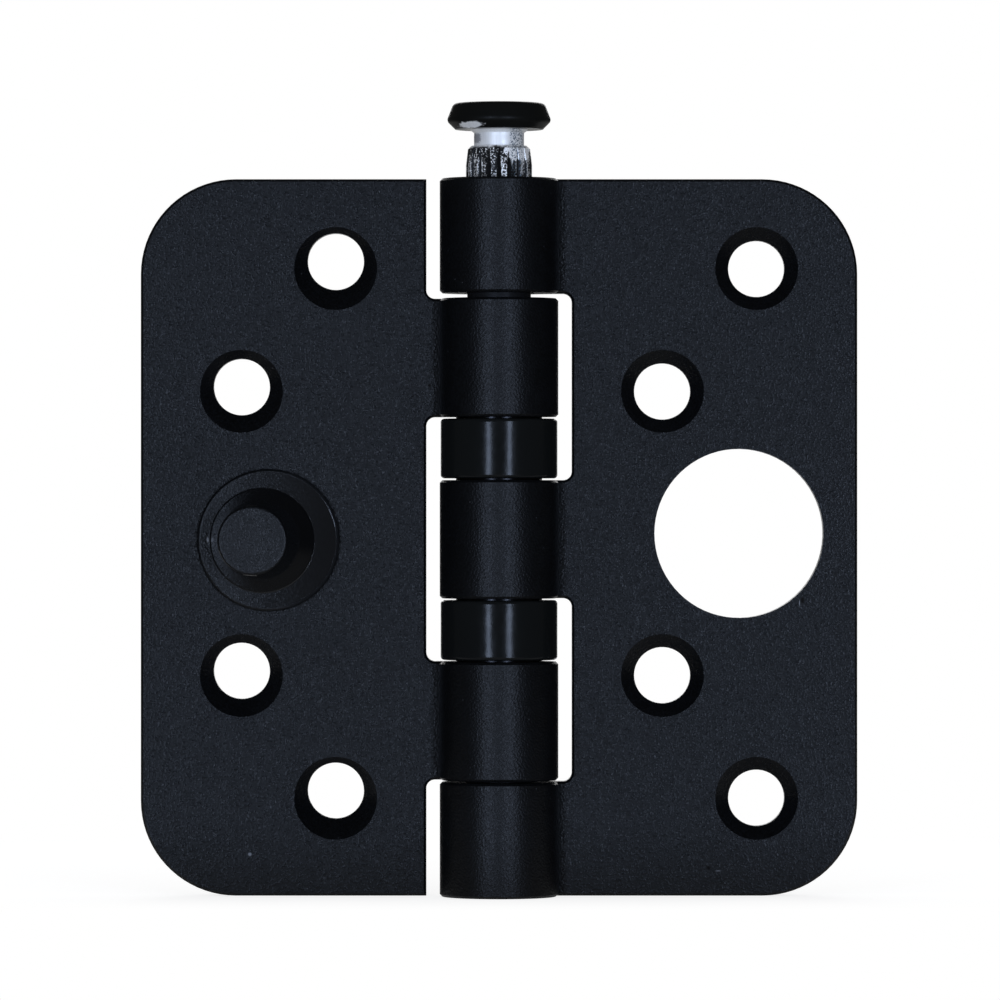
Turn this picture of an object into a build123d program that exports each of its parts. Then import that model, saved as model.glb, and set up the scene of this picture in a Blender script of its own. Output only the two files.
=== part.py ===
from build123d import *
from math import acos, asin, degrees, radians, sin, tan
import os

# Security butt hinge, opened flat: two leaves rolled from sheet turn on one loose pin, a closed ball
# bearing sits above and below the middle knuckle, and a stud on the door leaf locks into the frame leaf.
# The pin's axis is Z, with the origin at the foot of the barrel. The frame leaf lies on +X and the door
# leaf on -X, the countersunk faces look along -Y and the mounting faces along +Y. Sizes in millimetres.

# Leaves
leaf_height = 89.0
leaf_reach = 44.5  # from the pin's axis to a leaf's free edge
sheet = 3.2  # steel with its coat
corner_radius = 11.8
edge_break = 0.3  # bevel all round the stamped blank
closed_gap = 2.5  # between the countersunk faces when the hinge is shut

# Barrel
bore = 8.3
neck_bend = 4.5  # inside radius where a leaf sets back to the barrel
seam_gap = 0.25  # between the rolled sheet's cut edge and its own leaf
notch_clearance = 1.7  # from the barrel to the notches of the other leaf
notch_round = 1.1
end_knuckle = 14.2
door_knuckle = 14.7
running_gap = 0.22  # between neighbours along the barrel
top_play = 0.65  # under the top knuckle

# Screw holes, two columns in each leaf, staggered so that no two heads meet when it shuts
screw_hole = 7.0
screw_sink = 10.3
sink_angle = 90.0
near_column = 20.3  # from the pin's axis
far_inset = 12.5  # of the other column, from the leaf's free edge
wide_pair = 65.8  # along the pin, hole to hole
close_pair = 35.3
pattern_rise = 0.5  # middle of the hole pattern above the leaf's middle
wide_drift = 0.9  # on the door leaf the holes are punched above their countersinks
close_drift = 0.55

# Locking stud and the hole that takes it
lock_hole = 21.0
lock_hole_inset = 14.7  # from the frame leaf's free edge
stud_inset = 15.85  # from the door leaf's
stud_drop = 0.35  # below the leaf's middle
stud_height = 8.4  # above the leaf
stud_base = 12.9
stud_tip = 8.5
base_lean = 0.75  # away from the barrel, from the flange's centre
tip_lean = 1.75
tip_round = 0.4
base_round = 0.15  # hollow where the wall runs out on the flange
flange = 17.7
flange_height = 0.9
flange_round = 0.4
rivet = 10.0
rivet_tail = 12.6
tail_depth = 1.2
rivet_fit = 0.04  # round the rivet, and under the flush tail

# Pin, drawn up out of the barrel
pin = 7.9
pin_lift = 6.1  # head above its seat on the top knuckle
pin_end_gap = 0.8  # end above the barrel's foot once the pin is driven home
pin_end_chamfer = 0.9
head = 13.0
head_crown = 11.3  # across the narrower top of the head
head_land = 10.9  # and across its seat
head_height = 3.25
head_bevel = 1.05  # up to the widest part
head_rim_round = 0.6
head_crown_round = 0.7
collar = 7.4  # flared foot of the head
collar_height = 0.45
neck = 6.2
neck_length = 1.6
spline_fit = 0.05  # from the spline's crests to the bore
spline_length = 10.0
spline_lead = 2.4  # tapered end of the spline
spline_nose = 7.7
nose_chamfer = 0.4
spline_teeth = 20
spline_depth = 0.32

# Ball bearings
bearing_height = 7.4
shell = 14.5
shell_wall = 0.6
shell_round = 0.45
race_fit = 0.1  # from the turning race to the shell
hub_fit = 0.02  # from a race's hub to the knuckle that it carries
hub_wall = 1.2
ball = 2.0
ball_fit = 0.03
ball_count = 8
cage_sheet = 0.5

bore_radius = bore / 2
barrel_radius = bore_radius + sheet
front_face = closed_gap / 2
rear_face = front_face + sheet
leaf_middle = leaf_height / 2
notch_edge = barrel_radius + notch_clearance
far_column = leaf_reach - far_inset
lock_hole_reach = leaf_reach - lock_hole_inset
stud_reach = leaf_reach - stud_inset

# The set-back bend and the roll are two arcs of the sheet that meet in line.
bend_centre_y = rear_face + neck_bend
arc_centres = barrel_radius + neck_bend
bend_turn = degrees(acos(bend_centre_y / arc_centres))
bend_start = arc_centres * sin(radians(bend_turn))
roll_start = 90 - bend_turn
cut_angle = degrees(asin((front_face - seam_gap) / barrel_radius))
roll_turn = 360 + cut_angle - roll_start

middle_knuckle = (
    leaf_height - 2 * (end_knuckle + door_knuckle + bearing_height) - 5 * running_gap - top_play
)
lower_door_foot = end_knuckle + running_gap
lower_bearing_foot = lower_door_foot + door_knuckle + running_gap
middle_foot = lower_bearing_foot + bearing_height + running_gap
upper_bearing_foot = middle_foot + middle_knuckle + running_gap
upper_door_foot = upper_bearing_foot + bearing_height + running_gap
top_foot = leaf_height - end_knuckle
frame_knuckles = ((0, end_knuckle), (middle_foot, middle_knuckle), (top_foot, end_knuckle))
door_knuckles = ((lower_door_foot, door_knuckle), (upper_door_foot, door_knuckle))


def leaf_place(reach, height):
    """Plane on the countersunk face of a leaf on +X, looking out of it."""
    return Plane(origin=(reach, front_face, height), x_dir=(1, 0, 0), z_dir=(0, -1, 0))


def flat_blank(knuckles):
    """Flat of a leaf, with a neck for each knuckle and notches for those of the other leaf."""
    with BuildSketch(leaf_place(0, 0)) as blank:
        with Locations((notch_edge, 0)):
            Rectangle(leaf_reach - notch_edge, leaf_height, align=Align.MIN)
        for foot, length in knuckles:
            with Locations((bend_start, foot)):
                Rectangle(notch_edge - bend_start, length, align=Align.MIN)
        fillet(blank.vertices().group_by(Axis.X)[-1], corner_radius)
        inner = blank.vertices().filter_by(lambda v: 0 < v.Y < leaf_height)
        fillet(inner.group_by(Axis.X)[1], notch_round)
    return blank.sketch


def rolled_strip(foot):
    """Section of the sheet from its set-back bend round the pin to its cut edge."""
    bend_centre = (bend_start, bend_centre_y)
    with BuildSketch(Plane.XY.offset(foot)) as strip:
        with BuildLine():
            front_bend = CenterArc(bend_centre, neck_bend + sheet, -90, -bend_turn)
            rear_bend = CenterArc(bend_centre, neck_bend, -90, -bend_turn)
            inside = CenterArc((0, 0), bore_radius, roll_start, roll_turn)
            outside = CenterArc((0, 0), barrel_radius, roll_start, roll_turn)
            Line(front_bend @ 0, rear_bend @ 0)
            Line(inside @ 1, outside @ 1)
        make_face()
    return strip.sketch


def blank_edges(leaf):
    """Edges of the stamped blank on both broad sides, along the flat and round each roll."""
    flat = leaf.faces().filter_by(Axis.Y).edges()
    bend_lines = flat.filter_by(Axis.Z).group_by(Axis.X)[0]
    rolled = leaf.edges().filter_by(GeomType.CIRCLE).filter_by(Plane.XY)
    return (flat - bend_lines) + rolled


def screw_pair(column, spacing, drift):
    """Two countersunk screw holes, drift above the middles of their countersinks."""
    sink_depth = ((screw_sink - screw_hole) / 2 + drift) / tan(radians(sink_angle / 2))
    for height in (leaf_middle + pattern_rise - spacing / 2, leaf_middle + pattern_rise + spacing / 2):
        with Locations(leaf_place(column, height + drift)):
            Hole(screw_hole / 2, sheet)
        with Locations(leaf_place(column, height)):
            Cone(
                screw_hole / 2 - drift,
                screw_sink / 2,
                sink_depth,
                align=(Align.CENTER, Align.CENTER, Align.MAX),
                mode=Mode.SUBTRACT,
            )


os.makedirs("parts", exist_ok=True)

with BuildPart() as frame_leaf:
    extrude(flat_blank(frame_knuckles), amount=-sheet)
    for foot, length in frame_knuckles:
        extrude(rolled_strip(foot), amount=length)
    chamfer(blank_edges(frame_leaf), edge_break)
    screw_pair(far_column, wide_pair, 0)
    screw_pair(near_column, close_pair, 0)
    with Locations(leaf_place(lock_hole_reach, leaf_middle + pattern_rise)):
        Hole(lock_hole / 2, sheet)
frame_leaf.part.label = "frame_leaf"
export_step(frame_leaf.part, "parts/frame_leaf.step")

stud_place = leaf_place(stud_reach, leaf_middle - stud_drop)
flange_top = front_face - flange_height

with BuildPart() as door_leaf:
    extrude(flat_blank(door_knuckles), amount=-sheet)
    for foot, length in door_knuckles:
        extrude(rolled_strip(foot), amount=length)
    chamfer(blank_edges(door_leaf), edge_break)
    screw_pair(near_column, wide_pair, wide_drift)
    screw_pair(far_column, close_pair, close_drift)
    with Locations(stud_place):
        Hole(rivet / 2 + rivet_fit, sheet)
    with Locations(stud_place.offset(-sheet)):
        Cone(
            rivet_tail / 2 + rivet_fit,
            rivet / 2 + rivet_fit,
            tail_depth,
            align=(Align.CENTER, Align.CENTER, Align.MIN),
            mode=Mode.SUBTRACT,
        )
    mirror(about=Plane.YZ, mode=Mode.REPLACE)
door_leaf.part.label = "door_leaf"
export_step(door_leaf.part, "parts/door_leaf.step")

with BuildPart() as security_stud:
    with BuildSketch(stud_place):
        Circle(flange / 2)
    extrude(amount=flange_height)
    fillet(security_stud.edges().group_by(Axis.Y)[0], flange_round)
    with BuildSketch(stud_place.offset(flange_height)):
        with Locations((base_lean, 0)):
            Circle(stud_base / 2)
    with BuildSketch(stud_place.offset(stud_height)):
        with Locations((tip_lean, 0)):
            Circle(stud_tip / 2)
    loft()
    fillet(security_stud.edges().group_by(Axis.Y)[0], tip_round)
    rings = security_stud.edges().filter_by(GeomType.CIRCLE)
    wall_foot = rings.filter_by_position(Axis.Y, flange_top, flange_top).sort_by(SortBy.RADIUS)[0]
    fillet(wall_foot, base_round)
    with BuildSketch(stud_place):
        Circle(rivet / 2)
    extrude(amount=-(sheet - tail_depth))
    with BuildSketch(stud_place.offset(tail_depth - sheet)):
        Circle(rivet / 2)
    with BuildSketch(stud_place.offset(rivet_fit - sheet)):
        Circle(rivet_tail / 2)
    loft()
    mirror(about=Plane.YZ, mode=Mode.REPLACE)
security_stud.part.label = "security_stud"
export_step(security_stud.part, "parts/security_stud.step")

head_foot = leaf_height + pin_lift
pin_end = head_foot - leaf_height + pin_end_gap
spline_top = head_foot - collar_height - neck_length
spline_foot = spline_top - spline_length
spline_radius = bore_radius - spline_fit

with BuildPart() as hinge_pin:
    with BuildSketch(Plane.XZ):
        with BuildLine():
            Polyline(
                (0, pin_end),
                (pin / 2 - pin_end_chamfer, pin_end),
                (pin / 2, pin_end + pin_end_chamfer),
                (pin / 2, spline_foot),
                (spline_radius, spline_foot),
                (spline_radius, spline_top - spline_lead),
                (spline_nose / 2, spline_top - nose_chamfer),
                (spline_nose / 2 - nose_chamfer, spline_top),
                (neck / 2, spline_top),
                (neck / 2, head_foot - collar_height),
                (collar / 2, head_foot),
                (head_land / 2, head_foot),
                (head / 2, head_foot + head_bevel),
                (head_crown / 2, head_foot + head_height),
                (0, head_foot + head_height),
                close=True,
            )
        make_face()
    revolve(axis=Axis.Z)
    rims = hinge_pin.edges().filter_by(GeomType.CIRCLE)
    fillet(rims.sort_by(Axis.Z)[-1], head_crown_round)
    rims = hinge_pin.edges().filter_by(GeomType.CIRCLE)
    fillet(rims.sort_by(SortBy.RADIUS)[-1], head_rim_round)
    with BuildSketch(Plane.XY.offset(spline_foot)):
        with PolarLocations(spline_radius, spline_teeth):
            Rectangle(spline_depth * 2**0.5, spline_depth * 2**0.5, rotation=45)
    extrude(amount=spline_length, mode=Mode.SUBTRACT)
hinge_pin.part.label = "hinge_pin"
export_step(hinge_pin.part, "parts/hinge_pin.step")

shell_radius = shell / 2
hub_radius = bore_radius + hub_wall
hub_proud = running_gap - hub_fit  # races stand out of the shell to carry the knuckles
shell_mouth = hub_radius + race_fit
race_radius = shell_radius - shell_wall - race_fit
pitch_radius = (bore_radius + race_radius) / 2
race_bed = bearing_height / 2 - ball / 2 - ball_fit  # from the foot of the shell to the lower race's top


def race_half(side, shoulder):
    """Half section of the race below the balls: its hub stands through the shell and its shoulder lies inside."""
    with BuildSketch(side) as half:
        with BuildLine():
            Polyline(
                (bore_radius, -hub_proud),
                (hub_radius, -hub_proud),
                (hub_radius, shoulder),
                (race_radius, shoulder),
                (race_radius, race_bed),
                (bore_radius, race_bed),
                close=True,
            )
        make_face()
    return half.sketch


for place, foot in (("lower", lower_bearing_foot), ("upper", upper_bearing_foot)):
    side = Plane(origin=(0, 0, foot), x_dir=(1, 0, 0), z_dir=(0, -1, 0))
    ball_plane = Plane.XY.offset(foot + bearing_height / 2)

    with BuildPart() as bearing_shell:
        with BuildSketch(side):
            with Locations((shell_mouth, 0)):
                Rectangle(shell_radius - shell_mouth, bearing_height, align=Align.MIN)
            with Locations((shell_mouth, shell_wall)):
                Rectangle(
                    shell_radius - shell_wall - shell_mouth,
                    bearing_height - 2 * shell_wall,
                    align=Align.MIN,
                    mode=Mode.SUBTRACT,
                )
        revolve(axis=Axis.Z)
        rims = bearing_shell.edges().filter_by(GeomType.CIRCLE)
        fillet(rims.group_by(SortBy.RADIUS)[-1], shell_round)
    bearing_shell.part.label = f"{place}_bearing_shell"
    export_step(bearing_shell.part, f"parts/{place}_bearing_shell.step")

    with BuildPart() as bottom_race:
        revolve(race_half(side, shell_wall), axis=Axis.Z)
    bottom_race.part.label = f"{place}_bottom_race"
    export_step(bottom_race.part, f"parts/{place}_bottom_race.step")

    with BuildPart() as top_race:
        revolve(race_half(side, shell_wall + race_fit), axis=Axis.Z)
        mirror(about=ball_plane, mode=Mode.REPLACE)
    top_race.part.label = f"{place}_top_race"
    export_step(top_race.part, f"parts/{place}_top_race.step")

    with BuildPart() as ball_cage:
        with BuildSketch(ball_plane.offset(-cage_sheet / 2)):
            Circle(race_radius)
            Circle(bore_radius, mode=Mode.SUBTRACT)
            with PolarLocations(pitch_radius, ball_count):
                Circle(ball / 2 + ball_fit, mode=Mode.SUBTRACT)
        extrude(amount=cage_sheet)
    ball_cage.part.label = f"{place}_ball_cage"
    export_step(ball_cage.part, f"parts/{place}_ball_cage.step")

    with BuildPart() as balls:
        with Locations(ball_plane):
            with PolarLocations(pitch_radius, ball_count):
                Sphere(ball / 2)
    balls.part.label = f"{place}_balls"
    export_step(balls.part, f"parts/{place}_balls.step")
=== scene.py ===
import math
import bmesh
import bpy
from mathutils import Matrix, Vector

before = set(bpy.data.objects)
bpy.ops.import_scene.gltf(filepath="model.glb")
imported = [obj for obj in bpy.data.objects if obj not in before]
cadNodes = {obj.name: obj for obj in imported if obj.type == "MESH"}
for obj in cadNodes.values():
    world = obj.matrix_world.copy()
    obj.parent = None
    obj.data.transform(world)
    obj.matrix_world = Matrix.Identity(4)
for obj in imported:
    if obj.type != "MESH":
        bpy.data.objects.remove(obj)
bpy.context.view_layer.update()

scene = bpy.context.scene
scene.view_settings.view_transform = "Standard"
mmPerMetre = 1000.0
noiseLow, noiseMiddle, noiseHigh = 0.3, 0.5, 0.7  # where most of a noise lies
print("frame loaded:", len(cadNodes), "pieces")


def addNode(tree, kind, sockets=None, **settings):
    node = tree.nodes.new(kind)
    for key, value in settings.items():
        setattr(node, key, value)
    for key, value in (sockets or {}).items():
        if isinstance(value, bpy.types.NodeSocket):
            tree.links.new(value, node.inputs[key])
        else:
            node.inputs[key].default_value = value
    return node


def calc(tree, operation, a, b=0.0):
    return addNode(tree, "ShaderNodeMath", {0: a, 1: b}, operation=operation).outputs[0]


def remap(tree, value, low, high, toLow=0.0, toHigh=1.0, ease="SMOOTHSTEP"):
    sockets = {"Value": value, "From Min": low, "From Max": high, "To Min": toLow, "To Max": toHigh}
    return addNode(tree, "ShaderNodeMapRange", sockets, interpolation_type=ease).outputs["Result"]


def blend(tree, share, a, b):
    return remap(tree, share, 0.0, 1.0, a, b, "LINEAR")


def spread(tree, fac, low, high):
    return remap(tree, fac, noiseLow, noiseHigh, low, high, "LINEAR")


def mixColour(tree, factor, a, b):
    # the Mix node keeps its colours in sockets 6 and 7 and in output 2
    return addNode(tree, "ShaderNodeMix", {0: factor, 6: a, 7: b}, data_type="RGBA").outputs[2]


def mixValue(tree, factor, a, b):
    return addNode(tree, "ShaderNodeMix", {0: factor, 2: a, 3: b}, data_type="FLOAT").outputs[0]


def noise(tree, place, scale=1.0, detail=3.0, rough=0.6):
    sockets = {"Vector": place, "Scale": scale, "Detail": detail, "Roughness": rough}
    return addNode(tree, "ShaderNodeTexNoise", sockets).outputs["Fac"]


def stretched(tree, place, factors):
    return addNode(tree, "ShaderNodeVectorMath", {0: place, 1: factors}, operation="MULTIPLY").outputs[0]


def hypotenuse(tree, a, b):
    squares = calc(tree, "ADD", calc(tree, "MULTIPLY", a, a), calc(tree, "MULTIPLY", b, b))
    return calc(tree, "SQRT", squares)


def rgba(colour):
    return (colour[0], colour[1], colour[2], 1.0)


def startMaterial(name):
    material = bpy.data.materials.new(name)
    material.use_nodes = True
    tree = material.node_tree
    shader = tree.nodes["Principled BSDF"]
    coords = addNode(tree, "ShaderNodeTexCoord").outputs["Object"]
    # every texture is laid out in millimetres of the hinge's own frame
    scaled = addNode(tree, "ShaderNodeVectorMath", {0: coords, "Scale": mmPerMetre}, operation="SCALE")
    return material, tree, shader, scaled.outputs[0]


def splitAxes(tree, place):
    return addNode(tree, "ShaderNodeSeparateXYZ", {0: place}).outputs


def bumpInto(tree, shader, height, heightMm):
    sockets = {"Height": height, "Distance": heightMm / mmPerMetre, "Strength": 1.0}
    bump = addNode(tree, "ShaderNodeBump", sockets)
    tree.links.new(bump.outputs["Normal"], shader.inputs["Normal"])


def dress(names, material):
    for name in names:
        slots = cadNodes[name].data.materials
        slots.clear()
        slots.append(material)


def pieceBox(name):
    # low and high corner of a piece as it was made, mm
    places = [vertex.co * mmPerMetre for vertex in cadNodes[name].data.vertices]
    low = Vector([min(place[i] for place in places) for i in range(3)])
    high = Vector([max(place[i] for place in places) for i in range(3)])
    return low, high


# Spots on the front of a piece: middle across and up, half width, half height, mm
wear = {
    "frontSide": 2.0,    # along Y, where the front ends
    "raggedness": 1.6,
    "edgeSoft": 0.25,    # share of a spot
    "speckSoft": 0.5,
}


def patch(tree, axes, spot, ragged=None, soft=wear["edgeSoft"]):
    middleX, middleZ, halfWidth, halfHeight = spot
    across = calc(tree, "DIVIDE", calc(tree, "SUBTRACT", axes["X"], middleX), halfWidth)
    up = calc(tree, "DIVIDE", calc(tree, "SUBTRACT", axes["Z"], middleZ), halfHeight)
    reach = hypotenuse(tree, across, up)
    if ragged:
        wobble = calc(tree, "MULTIPLY", calc(tree, "SUBTRACT", ragged, noiseMiddle), wear["raggedness"])
        reach = calc(tree, "ADD", reach, wobble)
    front = calc(tree, "LESS_THAN", axes["Y"], wear["frontSide"])
    return calc(tree, "MULTIPLY", front, remap(tree, reach, 1.0 - soft, 1.0 + soft, 1.0, 0.0))


def specks(tree, axes, spots):
    mask = patch(tree, axes, spots[0], soft=wear["speckSoft"])
    for spot in spots[1:]:
        mask = calc(tree, "MAXIMUM", mask, patch(tree, axes, spot, soft=wear["speckSoft"]))
    return mask


# Powder coat on the leaves: fine sandy skin with a few pale grains and specks of wear
leafCoat = {
    "colour": (0.0009, 0.0011, 0.0015),
    "lightColour": (0.0031, 0.0037, 0.0046),
    "toneRange": (0.36, 0.64),
    "skinScale": 3.8,        # bumps per mm
    "skinDetail": 1.0,
    "skinRagged": 0.5,
    "skinHeight": 0.059,     # mm
    "skinShare": 0.75,       # of the tone, the rest is cloud
    "cloudScale": 0.35,
    "grainColour": (0.050, 0.053, 0.060),
    "grainCell": 1.1,        # cells per mm
    "grainShare": 0.10,      # of the cells hold a pale grain
    "grainRadius": 0.10,     # share of a cell
    "grainCore": 0.5,        # share of a grain that is fully pale
    "roughLow": 0.25,
    "roughHigh": 0.38,
    "knuckleRough": 0.072,   # more on the rolled knuckles
    "knuckleRadius": 7.45,   # mm from the pin's axis
    "knuckleFade": 0.6,
    "specular": 0.20,
    "paleSpecksAndGlint": [(-30.95, 5.15, 0.20, 0.20), (37.32, 36.36, 0.06, 0.34), (27.20, 3.08, 0.34, 0.05)],
    "darkSpots": [(26.02, 3.45, 0.27, 0.27), (-8.66, 63.37, 0.19, 0.19), (37.70, 36.70, 0.22, 0.40)],
    "paleSpeckAndGlintColour": (0.16, 0.17, 0.19),
    "darkColour": (0.0032, 0.0024, 0.0024),
    "dullRough": 0.85,
}


def sandyColour(tree, place, skin, coat):
    cloud = noise(tree, place, coat["cloudScale"])
    skinPart = calc(tree, "MULTIPLY", skin, coat["skinShare"])
    cloudPart = calc(tree, "MULTIPLY", cloud, 1.0 - coat["skinShare"])
    tone = remap(tree, calc(tree, "ADD", skinPart, cloudPart), *coat["toneRange"])
    return mixColour(tree, tone, rgba(coat["colour"]), rgba(coat["lightColour"]))


def paleGrains(tree, place, coat):
    cells = addNode(tree, "ShaderNodeTexVoronoi", {"Vector": place, "Scale": coat["grainCell"]})
    core = coat["grainRadius"] * coat["grainCore"]
    near = remap(tree, cells.outputs["Distance"], core, coat["grainRadius"], 1.0, 0.0)
    pick = addNode(tree, "ShaderNodeSeparateColor", {0: cells.outputs["Color"]}).outputs[0]
    return calc(tree, "MULTIPLY", near, calc(tree, "LESS_THAN", pick, coat["grainShare"]))


def sandyRough(tree, axes, skin, coat):
    rough = spread(tree, skin, coat["roughHigh"], coat["roughLow"])
    radius = hypotenuse(tree, axes["X"], axes["Y"])
    rollEdge = coat["knuckleRadius"] + coat["knuckleFade"]
    onKnuckle = remap(tree, radius, coat["knuckleRadius"], rollEdge, coat["knuckleRough"], 0.0)
    return calc(tree, "ADD", rough, onKnuckle)


def powderCoat(name, coat, sandyAndDull=None):
    material, tree, shader, place = startMaterial(name)
    axes = splitAxes(tree, place)
    skin = noise(tree, place, coat["skinScale"], coat["skinDetail"], coat["skinRagged"])
    colour = sandyColour(tree, place, skin, coat)
    grain = paleGrains(tree, place, coat)
    rough = sandyRough(tree, axes, skin, coat)
    height = skin
    if sandyAndDull:  # the rest of the piece is smooth and glossy
        sandy, dull = sandyAndDull(tree, axes)
        height = calc(tree, "MULTIPLY", skin, sandy)
        grain = calc(tree, "MULTIPLY", grain, sandy)
        rough = mixValue(tree, sandy, coat["roughSmooth"], rough)
        rough = mixValue(tree, dull, rough, coat["dullRough"])
        colour = mixColour(tree, sandy, rgba(coat["wallColour"]), colour)
        tree.links.new(calc(tree, "SUBTRACT", 1.0, sandy), shader.inputs["Coat Weight"])
        shader.inputs["Coat Roughness"].default_value = coat["glossRough"]
    colour = mixColour(tree, grain, colour, rgba(coat["grainColour"]))
    # pale specks: wear on the leaves, and on the stud a painted highlight
    if coat["paleSpecksAndGlint"]:
        paleSpeckAndGlint = specks(tree, axes, coat["paleSpecksAndGlint"])
        colour = mixColour(tree, paleSpeckAndGlint, colour, rgba(coat["paleSpeckAndGlintColour"]))
    if coat["darkSpots"]:
        dark = specks(tree, axes, coat["darkSpots"])
        colour = mixColour(tree, dark, colour, rgba(coat["darkColour"]))
        rough = mixValue(tree, dark, rough, coat["dullRough"])
    tree.links.new(colour, shader.inputs["Base Color"])
    tree.links.new(rough, shader.inputs["Roughness"])
    shader.inputs["Specular IOR Level"].default_value = coat["specular"]
    bumpInto(tree, shader, height, coat["skinHeight"])
    return material


dress(["frame_leaf", "door_leaf"], powderCoat("leafCoat", leafCoat))
print("leaves coated")

# Locking stud: the same coat, with a smooth glossy wall between its sandy top and flange
studCoat = dict(
    leafCoat,
    specular=0.25,
    roughLow=0.27,
    roughHigh=0.40,
    roughSmooth=0.13,
    glossRough=0.09,
    wallColour=(0.0034, 0.0037, 0.0043),
    wallGrain=0.02,
    # the pale spot at the wall's foot is a painted highlight, a glint where the left strip mirrors in the
    # wall
    paleSpecksAndGlint=[(-36.15, 44.2, 0.13, 0.30)],
    darkSpots=[],
    topDepth=0.10,                # mm behind the top's face
    flangeLevel=0.30,             # along Y, mm
    levelSoft=0.15,
    # towards the barrel the flange is smoother and its rounded edge dull
    flangeFlat=(-28.65, 44.20, 8.47, 8.47),
    flatSoft=0.003,
    smoothAcross=(-34.9, -20.8),  # along X, mm
    flangeGrain=0.165,            # left at the barrel's side
    dullAcross=(-29.0, -24.0),
)


def studGrain(tree, axes):
    coat = studCoat
    topLevel = pieceBox("security_stud")[0].y + coat["topDepth"]
    top = remap(tree, axes["Y"], topLevel, topLevel + coat["levelSoft"], 1.0, 0.0)
    flange = remap(tree, axes["Y"], coat["flangeLevel"] - coat["levelSoft"], coat["flangeLevel"])
    onFlat = patch(tree, axes, coat["flangeFlat"], soft=coat["flatSoft"])
    smoother = remap(tree, axes["X"], *coat["smoothAcross"], 1.0, coat["flangeGrain"], "LINEAR")
    flange = calc(tree, "MULTIPLY", flange, blend(tree, onFlat, 1.0, smoother))
    sandy = blend(tree, calc(tree, "MAXIMUM", top, flange), coat["wallGrain"], 1.0)
    onEdge = calc(tree, "MULTIPLY", flange, calc(tree, "SUBTRACT", 1.0, onFlat))
    dull = calc(tree, "MULTIPLY", remap(tree, axes["X"], *coat["dullAcross"]), onEdge)
    return sandy, dull


dress(["security_stud"], powderCoat("studCoat", studCoat, studGrain))
print("stud coated")

# Bearing shells: smooth semi-gloss black
shellCoat = {
    "colour": (0.0056, 0.0063, 0.0063),
    "specular": 0.17,
    "rough": (0.15, 0.21),
    "streakScale": 1.6,
    "streakStretch": (1.0, 1.0, 0.45),
    "streakHeight": 0.010,    # mm
}


def shellMaterial():
    material, tree, shader, place = startMaterial("shellCoat")
    streak = noise(tree, stretched(tree, place, shellCoat["streakStretch"]), shellCoat["streakScale"])
    tree.links.new(spread(tree, streak, *shellCoat["rough"]), shader.inputs["Roughness"])
    shader.inputs["Base Color"].default_value = rgba(shellCoat["colour"])
    shader.inputs["Specular IOR Level"].default_value = shellCoat["specular"]
    bumpInto(tree, shader, streak, shellCoat["streakHeight"])
    return material


dress(["upper_bearing_shell", "lower_bearing_shell"], shellMaterial())
print("bearing shells coated")

# Pin: black head with a chip, bright neck with bluish painted shade flecks up its right side, grimy
# spline with a scraped side, and a dark shank whose darkness is partly painted shade for the gaps between
# knuckles
pinFinish = {
    # lengths from the top down, mm
    "head": 3.25,
    "neck": 2.05,
    "spline": 10.0,
    "coatEdge": (-0.06, 0.02),    # round the head's foot
    "shankEdge": 0.1,
    # colours
    "coat": (0.0052, 0.0053, 0.0048),
    "steel": (1.0, 0.99, 0.96),
    "steelDark": (0.93, 0.92, 0.90),
    # dark shank: partly painted shade, so it looks as shaded as it does in the gaps between knuckles
    "shankWithShade": (0.035, 0.035, 0.037),
    "grime": (0.010, 0.010, 0.010),
    "sideShadeColour": (0.10, 0.14, 0.18),
    "smearColour": (0.40, 0.40, 0.41),
    # textures
    "wanderScale": 1.4,
    "fleckScale": 5.0,
    "fineDetail": 4.0,
    "fineRagged": 0.65,
    "streakStretch": (2.6, 2.6, 0.45),
    "brushStretch": (6.0, 6.0, 0.35),
    "brushRange": (0.35, 0.65),
    # grime on the spline and what rubs it off
    "grimeFoot": 0.4,             # sets in below the spline's foot
    "grimeTop": (0.2, 0.7),       # past the spline's top
    "grimeWander": 1.2,
    "pitch": 3.94,                # radius between crest and groove
    "lead": 2.4,                  # tapered end of the spline and its drop
    "leadDrop": 0.25,
    "crestShare": 0.9,
    "streakShare": 0.4,
    "fleckShare": 0.6,
    "scrapeShare": 0.2,
    "rubbedRange": (0.63, 0.71),
    # spots of wear, and bluish painted shade flecks in a band up the right side of the bare steel
    "chip": (-3.50, 95.50, 1.30, 0.38),
    "scrape": (2.4, 92.4, 1.5, 1.3),
    "smear": (-2.75, 93.95, 0.50, 0.60),
    "sideShadeLeft": (1.2, 1.6),
    "sideShadeRight": (2.7, 3.2),
    "sideShadeRange": (0.50, 0.56),
    # gloss
    "bareRough": (0.40, 0.52),
    "coatRough": (0.34, 0.42),
    "specular": 0.10,
    "shine": 0.35,                # metallic share of the bare steel
    "waveHeight": 0.01,           # mm
}
headFoot = pieceBox("hinge_pin")[1].z - pinFinish["head"]
splineTop = headFoot - pinFinish["neck"]
splineFoot = splineTop - pinFinish["spline"]


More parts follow.
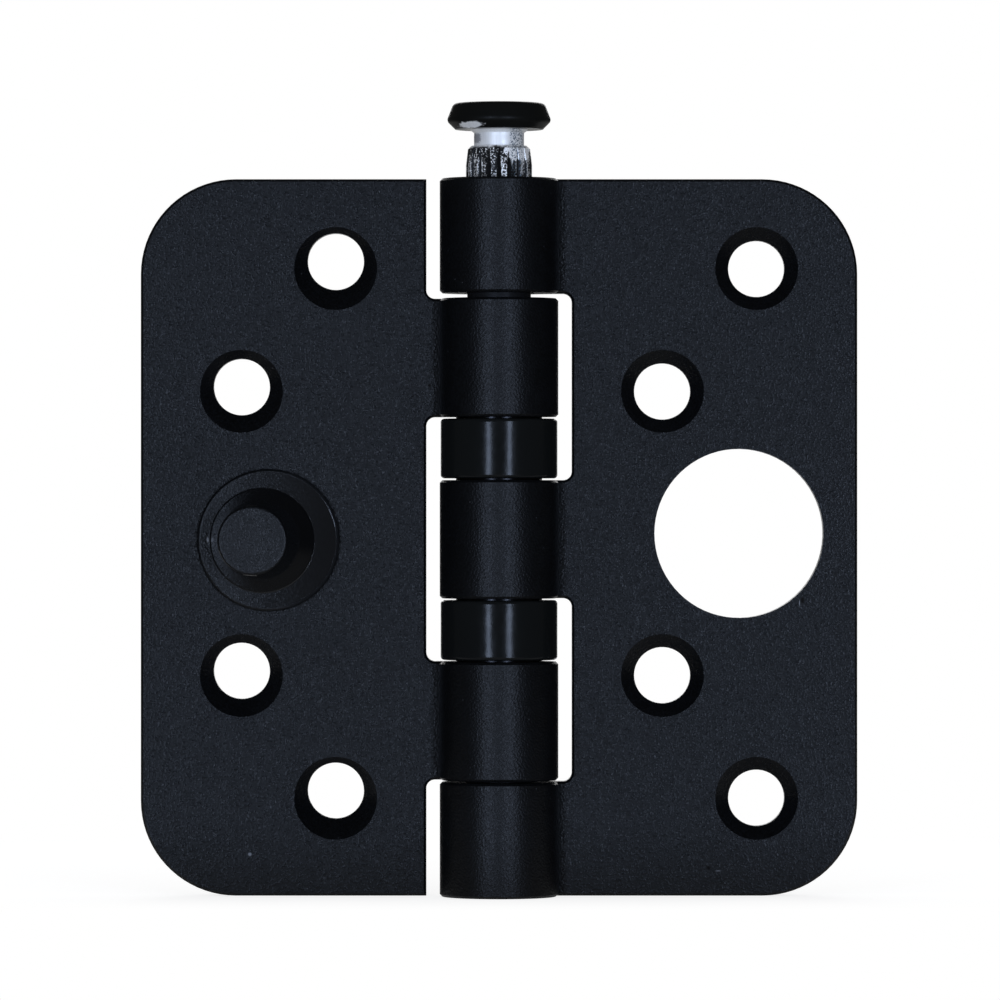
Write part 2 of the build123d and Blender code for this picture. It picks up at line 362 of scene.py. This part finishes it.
def splineGrime(tree, place, axes, wander, fleck):
    finish = pinFinish
    up = axes["Z"]
    fromFoot = remap(tree, up, splineFoot - finish["grimeFoot"], splineFoot)
    wavy = calc(tree, "ADD", up, calc(tree, "MULTIPLY", wander, finish["grimeWander"]))
    topEdge = [splineTop + step for step in finish["grimeTop"]]
    onSpline = calc(tree, "MULTIPLY", fromFoot, remap(tree, wavy, *topEdge, 1.0, 0.0))
    # rubbed off along the crests and scraped off at one side
    leadFoot = splineTop - finish["lead"]
    leadPitch = finish["pitch"] - finish["leadDrop"]
    pitch = remap(tree, up, leadFoot, splineTop, finish["pitch"], leadPitch, "LINEAR")
    crest = calc(tree, "SUBTRACT", hypotenuse(tree, axes["X"], axes["Y"]), pitch)
    longWays = stretched(tree, place, finish["streakStretch"])
    streak = noise(tree, longWays, detail=finish["fineDetail"], rough=finish["fineRagged"])
    scrape = patch(tree, axes, finish["scrape"], wander)
    rubbed = calc(tree, "MULTIPLY", crest, finish["crestShare"])
    for mark, share in ((streak, "streakShare"), (fleck, "fleckShare"), (scrape, "scrapeShare")):
        rubbed = calc(tree, "ADD", rubbed, calc(tree, "MULTIPLY", mark, finish[share]))
    return calc(tree, "MULTIPLY", onSpline, remap(tree, rubbed, *finish["rubbedRange"], 1.0, 0.0))


def bareSteel(tree, place, axes, fleck):
    finish = pinFinish
    brushing = noise(tree, stretched(tree, place, finish["brushStretch"]))
    brushed = remap(tree, brushing, *finish["brushRange"])
    steel = mixColour(tree, brushed, rgba(finish["steelDark"]), rgba(finish["steel"]))
    # painted shade: bluish dark flecks in a band up the right side of the bare steel
    fromLeft = remap(tree, axes["X"], *finish["sideShadeLeft"])
    toRight = remap(tree, axes["X"], *finish["sideShadeRight"], 1.0, 0.0)
    inBand = calc(tree, "MULTIPLY", fromLeft, toRight)
    sideShaded = calc(tree, "MULTIPLY", remap(tree, fleck, *finish["sideShadeRange"]), inBand)
    steel = mixColour(tree, sideShaded, steel, rgba(finish["sideShadeColour"]))
    smeared = patch(tree, axes, finish["smear"], fleck)
    steel = mixColour(tree, smeared, steel, rgba(finish["smearColour"]))
    # below the spline the dark shank colour is partly painted shade for the knuckle gaps
    aboveShank = remap(tree, axes["Z"], splineFoot - finish["shankEdge"], splineFoot)
    return mixColour(tree, aboveShank, rgba(finish["shankWithShade"]), steel)


def pinMaterial():
    material, tree, shader, place = startMaterial("pinFinish")
    finish = pinFinish
    axes = splitAxes(tree, place)
    wander = noise(tree, place, finish["wanderScale"], finish["fineDetail"])
    fleck = noise(tree, place, finish["fleckScale"], rough=finish["fineRagged"])
    # coat on the head, struck off at one place of its lower rim
    onHead = remap(tree, axes["Z"], *[headFoot + step for step in finish["coatEdge"]])
    unchipped = calc(tree, "SUBTRACT", 1.0, patch(tree, axes, finish["chip"], wander))
    coated = calc(tree, "MULTIPLY", onHead, unchipped)
    covered = calc(tree, "MAXIMUM", coated, splineGrime(tree, place, axes, wander, fleck))
    dark = mixColour(tree, onHead, rgba(finish["grime"]), rgba(finish["coat"]))
    colour = mixColour(tree, covered, bareSteel(tree, place, axes, fleck), dark)
    bareRough = spread(tree, wander, *finish["bareRough"])
    coatRough = spread(tree, wander, *finish["coatRough"])
    tree.links.new(colour, shader.inputs["Base Color"])
    tree.links.new(blend(tree, covered, finish["shine"], 0.0), shader.inputs["Metallic"])
    tree.links.new(mixValue(tree, covered, bareRough, coatRough), shader.inputs["Roughness"])
    shader.inputs["Specular IOR Level"].default_value = finish["specular"]
    bumpInto(tree, shader, wander, finish["waveHeight"])
    return material


dress(["hinge_pin"], pinMaterial())
print("pin finished")

# Inside the bearings: races darkened as painted shade for where their hubs show in the gaps between
# knuckles, polished balls, stamped cages
raceFinish = {"name": "raceSteel", "colour": (0.022, 0.022, 0.024), "rough": (0.18, 0.28), "rings": 9.0}
ballFinish = {"name": "ballSteel", "colour": (0.68, 0.69, 0.70), "rough": (0.06, 0.12), "rings": 2.0}
cageFinish = {"name": "cageBrass", "colour": (0.60, 0.43, 0.17), "rough": (0.28, 0.40), "rings": 4.0}
turning = {"across": 0.3, "shade": 0.8}  # stretch of the turned rings, and how dark they get


def turnedMetal(finish):
    material, tree, shader, place = startMaterial(finish["name"])
    stretch = (turning["across"], turning["across"], finish["rings"])
    rings = noise(tree, stretched(tree, place, stretch))
    darker = [channel * turning["shade"] for channel in finish["colour"]]
    shade = mixColour(tree, remap(tree, rings, noiseLow, noiseHigh), rgba(darker), rgba(finish["colour"]))
    tree.links.new(shade, shader.inputs["Base Color"])
    tree.links.new(spread(tree, rings, *finish["rough"]), shader.inputs["Roughness"])
    shader.inputs["Metallic"].default_value = 1.0
    return material


raceMetal = turnedMetal(raceFinish)
ballMetal = turnedMetal(ballFinish)
cageMetal = turnedMetal(cageFinish)
for side in ("upper", "lower"):
    dress([f"{side}_top_race", f"{side}_bottom_race"], raceMetal)
    dress([f"{side}_balls"], ballMetal)
    dress([f"{side}_ball_cage"], cageMetal)
print("bearing insides finished")

# Camera: level, square to the leaves, far off with a long lens
shot = {
    "distance": 0.92,      # from the countersunk faces
    "facePlane": 0.00125,
    "frameWidth": 0.1242,  # of the picture at that plane
    "sideways": 0.00012,
    "height": 0.04915,
    "sensor": 36.0,
    "near": 0.01,
    "far": 50.0,
}
cameraData = bpy.data.cameras.new("camera")
cameraData.sensor_width = shot["sensor"]
cameraData.lens = shot["sensor"] * shot["distance"] / shot["frameWidth"]
cameraData.clip_start = shot["near"]
cameraData.clip_end = shot["far"]
camera = bpy.data.objects.new("camera", cameraData)
camera.location = (shot["sideways"], shot["facePlane"] - shot["distance"], shot["height"])
camera.rotation_euler = (math.radians(90), 0.0, 0.0)
scene.collection.objects.link(camera)
scene.camera = camera
print("camera placed, lens", round(cameraData.lens, 1))

# Two tall strips in front light the hinge, a soft panel behind lights its back
strips = {
    "distance": 3.0,
    "turn": 20.5,    # degrees to either side of the camera
    "width": 0.42,
    "height": 1.6,
    "foot": -0.755,
    "power": 26.6,
    "colour": (0.625, 0.765, 1.05),
}
backPanel = {
    "place": (0.0, 1.9, 0.9),
    "target": (0.0, 0.0, 0.045),
    "width": 1.2,
    "height": 1.2,
    "power": 10.0,
    "colour": (1.0, 1.0, 1.0),
}


def panelLight(name, panel, place, target):
    lamp = bpy.data.lights.new(name, "AREA")
    lamp.shape = "RECTANGLE"
    lamp.size = panel["width"]
    lamp.size_y = panel["height"]
    lamp.energy = panel["power"]
    lamp.color = panel["colour"]
    holder = bpy.data.objects.new(name, lamp)
    holder.location = place
    holder.rotation_euler = (Vector(target) - Vector(place)).to_track_quat("-Z", "Y").to_euler()
    holder.visible_camera = False
    scene.collection.objects.link(holder)


stripTarget = Vector((0.0, 0.0, strips["foot"] + strips["height"] / 2))
for name, sign in (("leftStrip", -1), ("rightStrip", 1)):
    angle = math.radians(strips["turn"]) * sign
    aside = Vector((math.sin(angle), -math.cos(angle), 0.0)) * strips["distance"]
    panelLight(name, strips, aside + stripTarget, stripTarget)
panelLight("backPanel", backPanel, backPanel["place"], backPanel["target"])
print("lights placed")

# Studio: white behind the hinge, dim all round, with a softly lit ground before and behind it
studio = {
    "ambient": 0.35,
    "dimGloss": 0.052,            # the dim room as gloss shows it
    "groundFront": 0.35,
    "groundBack": 0.25,
    "groundAlong": (0.50, 0.75),  # share of a direction that is along Y
    "groundDip": (-0.30, -0.08),  # and along Z
    "groundTurn": (-0.35, 0.35),  # along Y, from front to back
    "backdropHalfAngle": 14.0,
    "white": (1.0, 1.0, 1.0),
}
world = bpy.data.worlds.new("studio")
scene.world = world
world.use_nodes = True
tree = world.node_tree
tree.nodes.clear()
path = addNode(tree, "ShaderNodeLightPath").outputs
heading = splitAxes(tree, addNode(tree, "ShaderNodeTexCoord").outputs["Generated"])
along = heading["Y"]
behind = calc(tree, "GREATER_THAN", along, math.cos(math.radians(studio["backdropHalfAngle"])))
mirrored = calc(tree, "MAXIMUM", path["Is Glossy Ray"], path["Is Transmission Ray"])
onWhite = calc(tree, "MAXIMUM", path["Is Camera Ray"], calc(tree, "MULTIPLY", mirrored, behind))
beforeOrBehind = remap(tree, calc(tree, "ABSOLUTE", along), *studio["groundAlong"])
below = remap(tree, heading["Z"], *studio["groundDip"], 1.0, 0.0)
onGround = calc(tree, "MULTIPLY", beforeOrBehind, below)
ground = remap(tree, along, *studio["groundTurn"], studio["groundFront"], studio["groundBack"])
gloss = blend(tree, onGround, studio["dimGloss"], ground)
level = blend(tree, mirrored, studio["ambient"], gloss)
white = rgba(studio["white"])
dimRoom = addNode(tree, "ShaderNodeBackground", {"Color": white, "Strength": level})
backdrop = addNode(tree, "ShaderNodeBackground", {"Color": white, "Strength": 1.0})
room = addNode(tree, "ShaderNodeMixShader", {0: onWhite, 1: dimRoom.outputs[0], 2: backdrop.outputs[0]})
addNode(tree, "ShaderNodeOutputWorld", {"Surface": room.outputs[0]})
print("studio lit")

# Floor: a pale round sheet that keeps a soft shadow and fades into the white
floorSheet = {
    "halfWidth": 0.20,
    "front": -0.035,
    "rear": 0.16,
    "segments": 96,
    "fade": 0.66,               # share of the sheet where it begins to fade
    "colour": (0.50, 0.50, 0.50),
    "edgeColour": (0.0, 0.0, 0.0),
    "glow": 0.78,
    "glowMirrored": 0.30,       # share of the glow that gloss shows in front
    "glowMirroredRear": 0.7,    # and at the rear
    "rearFrom": (0.004, 0.03),  # along Y
}
floorMiddle = (floorSheet["front"] + floorSheet["rear"]) / 2
floorHalf = (floorSheet["rear"] - floorSheet["front"]) / 2
bm = bmesh.new()
bmesh.ops.create_circle(bm, cap_ends=True, cap_tris=False, segments=floorSheet["segments"], radius=1.0)
bmesh.ops.scale(bm, vec=(floorSheet["halfWidth"], floorHalf, 1.0), verts=bm.verts)
floorMesh = bpy.data.meshes.new("floor")
bm.to_mesh(floorMesh)
bm.free()
floor = bpy.data.objects.new("floor", floorMesh)
floor.location = (0.0, floorMiddle, 0.0)
scene.collection.objects.link(floor)


def floorMaterial():
    material = bpy.data.materials.new("floorSheet")
    material.use_nodes = True
    tree = material.node_tree
    tree.nodes.clear()
    path = addNode(tree, "ShaderNodeLightPath").outputs
    coords = addNode(tree, "ShaderNodeTexCoord").outputs["Object"]  # from the sheet's own middle
    shares = stretched(tree, coords, (1 / floorSheet["halfWidth"], 1 / floorHalf, 0.0))
    reach = addNode(tree, "ShaderNodeVectorMath", {0: shares}, operation="LENGTH").outputs["Value"]
    inner = remap(tree, reach, floorSheet["fade"], 1.0, 1.0, 0.0)
    rear = [edge - floorMiddle for edge in floorSheet["rearFrom"]]
    depth = splitAxes(tree, coords)["Y"]
    mirrorShare = remap(tree, depth, *rear, floorSheet["glowMirrored"], floorSheet["glowMirroredRear"])
    mirrored = calc(tree, "MULTIPLY", path["Is Glossy Ray"], mirrorShare)
    seen = calc(tree, "MAXIMUM", path["Is Camera Ray"], path["Is Transmission Ray"])
    seen = calc(tree, "MAXIMUM", seen, mirrored)
    glow = calc(tree, "MULTIPLY", seen, blend(tree, inner, 1.0, floorSheet["glow"]))
    paint = mixColour(tree, inner, rgba(floorSheet["edgeColour"]), rgba(floorSheet["colour"]))
    matt = addNode(tree, "ShaderNodeBsdfDiffuse", {"Color": paint})
    shine = addNode(tree, "ShaderNodeEmission", {"Color": rgba(studio["white"]), "Strength": glow})
    both = addNode(tree, "ShaderNodeAddShader", {0: matt.outputs[0], 1: shine.outputs[0]})
    addNode(tree, "ShaderNodeOutputMaterial", {"Surface": both.outputs[0]})
    return material


floorMesh.materials.append(floorMaterial())
print("floor and backdrop made")
